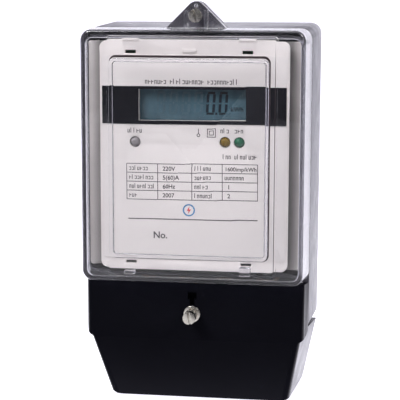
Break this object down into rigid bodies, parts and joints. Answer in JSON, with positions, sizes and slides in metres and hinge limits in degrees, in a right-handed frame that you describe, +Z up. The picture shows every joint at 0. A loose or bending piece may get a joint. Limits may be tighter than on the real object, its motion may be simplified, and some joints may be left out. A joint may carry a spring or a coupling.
{
  "type": "electronic electricity meter",
  "caption": "Wall-mounted electronic single-phase energy meter with a display, a clear sealed cover, a black base and a tapered terminal cover.",
  "frame": {"origin": "centre of the base's back face, on the wall", "axes": "+X to the right seen from the front, +Y into the wall (the front faces -Y), +Z up"},
  "size_m": [0.1128, 0.076, 0.2],
  "materials": {
    "black_case": "semi-gloss black moulding",
    "black_cover": "gloss black moulding",
    "clear_plastic": "clear, slightly smoky polycarbonate",
    "gasket": "soft black foam rubber",
    "nickel": "nickel plated",
    "zinc_steel": "zinc plated",
    "brass": "machined",
    "copper": "rolled copper",
    "grey_panel": "fine matt moulding",
    "nameplate_sheet": "printed satin sheet",
    "black_band": "printed satin black",
    "black_moulding": "satin black moulding",
    "lcd_glass": "polarised display glass",
    "lcd_backing": "grey-green reflector film",
    "contact_rubber": "layered silicone rubber",
    "led_clear": "water-clear epoxy",
    "led_amber": "amber epoxy",
    "led_green": "green epoxy",
    "circuit_board": "green solder mask",
    "chip_black": "moulded epoxy",
    "capacitor_box": "potted film capacitor box",
    "capacitor_sleeve": "shrunk sleeve",
    "varistor_blue": "dipped epoxy",
    "resistor_body": "lacquered",
    "header_white": "nylon",
    "wire_red": "wire insulation",
    "wire_blue": "wire insulation"
  },
  "bodies": {
    "root": {"base": "black_case", "cover_insert": "brass", "cover_gasket": "gasket", "terminal_cover_insert": "brass", "front_panel": "grey_panel", "nameplate": "nameplate_sheet", "display_bezel": "black_band", "lcd_holder": "black_moulding", "lcd_front_glass": "lcd_glass", "lcd_rear_glass": "lcd_glass", "lcd_reflector": "lcd_backing", "contact_strips": "contact_rubber", "pulse_led": "led_clear", "reverse_led": "led_amber", "power_led": "led_green", "main_board": "circuit_board", "board_screws": "zinc_steel", "metering_chip": "chip_black", "microcontroller": "chip_black", "crystal": "zinc_steel", "optocoupler": "chip_black", "supply_capacitor": "capacitor_box", "electrolytic_capacitors": "capacitor_sleeve", "varistor": "varistor_blue", "resistors": "resistor_body", "wire_header": "header_white", "current_shunt": "copper", "neutral_link": "copper", "sense_wires": "wire_red", "voltage_wire": "wire_blue", "terminal_block": "black_moulding", "terminal_block_screws": "zinc_steel", "line_in_terminal": "brass", "line_out_terminal": "brass", "neutral_in_terminal": "brass", "neutral_out_terminal": "brass"},
    "clear_cover": {"clear_cover": "clear_plastic"},
    "cover_washer": {"cover_screw_washer": "nickel"},
    "cover_screw": {"cover_screw": "nickel"},
    "terminal_cover": {"terminal_cover": "black_cover"},
    "terminal_washer": {"terminal_cover_washer": "nickel"},
    "terminal_cover_screw": {"terminal_cover_screw": "nickel"},
    "line_in_pad": {"line_in_pad": "zinc_steel"},
    "line_in_screw": {"line_in_screw": "nickel"},
    "line_out_pad": {"line_out_pad": "zinc_steel"},
    "line_out_screw": {"line_out_screw": "nickel"},
    "neutral_in_pad": {"neutral_in_pad": "zinc_steel"},
    "neutral_in_screw": {"neutral_in_screw": "nickel"},
    "neutral_out_pad": {"neutral_out_pad": "zinc_steel"},
    "neutral_out_screw": {"neutral_out_screw": "nickel"}
  },
  "joints": [
    {"name": "clear_cover_slide", "type": "slide", "parent": "root", "child": "clear_cover", "axis": [0, -1, 0], "range_m": [0, 0.05]},
    {"name": "cover_screw_advance", "type": "slide", "parent": "clear_cover", "child": "cover_washer", "axis": [0, -1, 0], "range_m": [0, 0.006]},
    {"name": "cover_screw_turn", "type": "hinge", "parent": "cover_washer", "child": "cover_screw", "pos_m": [0, -0.0584, 0.0814], "axis": [0, -1, 0], "range_deg": [0, 4321]},
    {"name": "terminal_cover_slide", "type": "slide", "parent": "root", "child": "terminal_cover", "axis": [0, -1, 0], "range_m": [0, 0.06]},
    {"name": "terminal_screw_advance", "type": "slide", "parent": "terminal_cover", "child": "terminal_washer", "axis": [0, -1, 0], "range_m": [0, 0.006]},
    {"name": "terminal_screw_turn", "type": "hinge", "parent": "terminal_washer", "child": "terminal_cover_screw", "pos_m": [-0.0012, -0.0612, -0.0635], "axis": [0, -1, 0], "range_deg": [0, 4321]},
    {"name": "line_in_clamp_advance", "type": "slide", "parent": "root", "child": "line_in_pad", "axis": [0, 1, 0], "range_m": [0, 0.0045]},
    {"name": "line_in_clamp_turn", "type": "hinge", "parent": "line_in_pad", "child": "line_in_screw", "pos_m": [-0.03, -0.038, -0.06], "axis": [0, 1, 0], "range_deg": [0, 2026]},
    {"name": "line_out_clamp_advance", "type": "slide", "parent": "root", "child": "line_out_pad", "axis": [0, 1, 0], "range_m": [0, 0.0045]},
    {"name": "line_out_clamp_turn", "type": "hinge", "parent": "line_out_pad", "child": "line_out_screw", "pos_m": [-0.01, -0.038, -0.06], "axis": [0, 1, 0], "range_deg": [0, 2026]},
    {"name": "neutral_in_clamp_advance", "type": "slide", "parent": "root", "child": "neutral_in_pad", "axis": [0, 1, 0], "range_m": [0, 0.0045]},
    {"name": "neutral_in_clamp_turn", "type": "hinge", "parent": "neutral_in_pad", "child": "neutral_in_screw", "pos_m": [0.01, -0.038, -0.06], "axis": [0, 1, 0], "range_deg": [0, 2026]},
    {"name": "neutral_out_clamp_advance", "type": "slide", "parent": "root", "child": "neutral_out_pad", "axis": [0, 1, 0], "range_m": [0, 0.0045]},
    {"name": "neutral_out_clamp_turn", "type": "hinge", "parent": "neutral_out_pad", "child": "neutral_out_screw", "pos_m": [0.03, -0.038, -0.06], "axis": [0, 1, 0], "range_deg": [0, 2026]}
  ],
  "couplings": [
    {"joint": "cover_screw_turn", "follows": "cover_screw_advance", "rad_per_m": 12566},
    {"joint": "terminal_screw_turn", "follows": "terminal_screw_advance", "rad_per_m": 12566},
    {"joint": "line_in_clamp_turn", "follows": "line_in_clamp_advance", "rad_per_m": 7854},
    {"joint": "line_out_clamp_turn", "follows": "line_out_clamp_advance", "rad_per_m": 7854},
    {"joint": "neutral_in_clamp_turn", "follows": "neutral_in_clamp_advance", "rad_per_m": 7854},
    {"joint": "neutral_out_clamp_turn", "follows": "neutral_out_clamp_advance", "rad_per_m": 7854}
  ]
}
